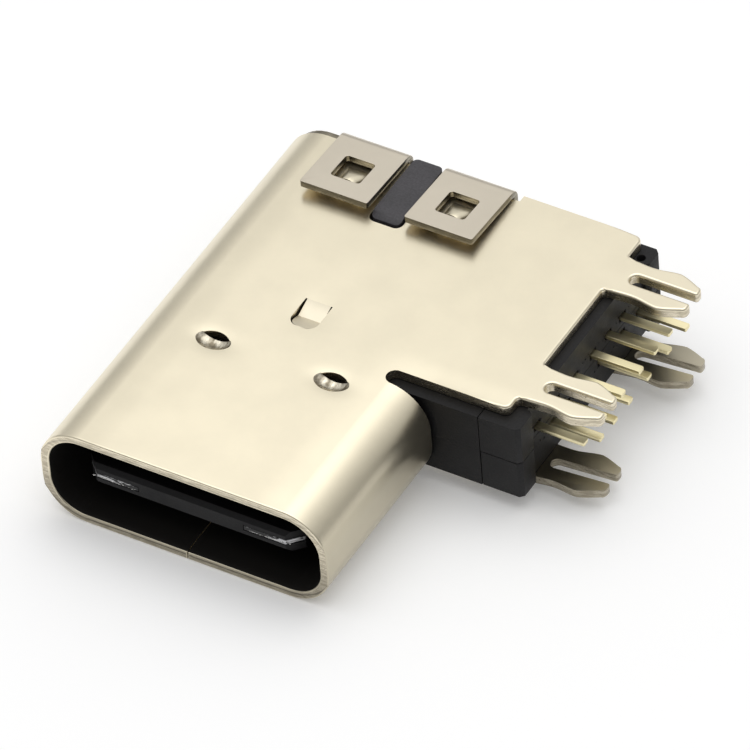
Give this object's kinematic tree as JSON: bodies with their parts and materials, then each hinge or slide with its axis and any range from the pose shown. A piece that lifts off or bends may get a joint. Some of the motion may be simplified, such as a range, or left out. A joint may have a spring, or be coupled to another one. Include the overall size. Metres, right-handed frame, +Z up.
{
  "type": "usb-c socket",
  "caption": "Side-plug socket for a round-ended reversible plug: folded metal shell with fork legs that stand it on edge on a circuit board, moulded body and thin contact tails.",
  "frame": {"origin": "centre of the mouth, on the plug's axis", "axes": "+X along the wide side of the mouth, towards the board; +Y inwards from the mouth; +Z up, across the thin side"},
  "size_m": [0.0136, 0.0137, 0.004],
  "materials": {
    "nickel_shell": "satin warm nickel over stamped steel",
    "nickel_cover": "satin warm nickel over stamped steel",
    "black_resin": "satin moulded",
    "charcoal_resin": "satin moulded",
    "plate_steel": "bright stamped",
    "gold_contact": "thin gold plate"
  },
  "bodies": {
    "root": {"shell": "nickel_shell", "rear_cover": "nickel_cover", "housing": "black_resin", "upper_carrier": "charcoal_resin", "lower_carrier": "charcoal_resin", "mid_plate": "plate_steel", "upper_ground_pad": "plate_steel", "lower_ground_pad": "plate_steel", "contact_ground_front": "gold_contact", "contact_power_front": "gold_contact", "contact_power_rear": "gold_contact", "contact_ground_rear": "gold_contact", "contact_upper_1": "gold_contact", "contact_upper_2": "gold_contact", "contact_upper_3": "gold_contact", "contact_upper_4": "gold_contact", "contact_lower_1": "gold_contact", "contact_lower_2": "gold_contact", "contact_lower_3": "gold_contact", "contact_lower_4": "gold_contact"}
  },
  "joints": []
}
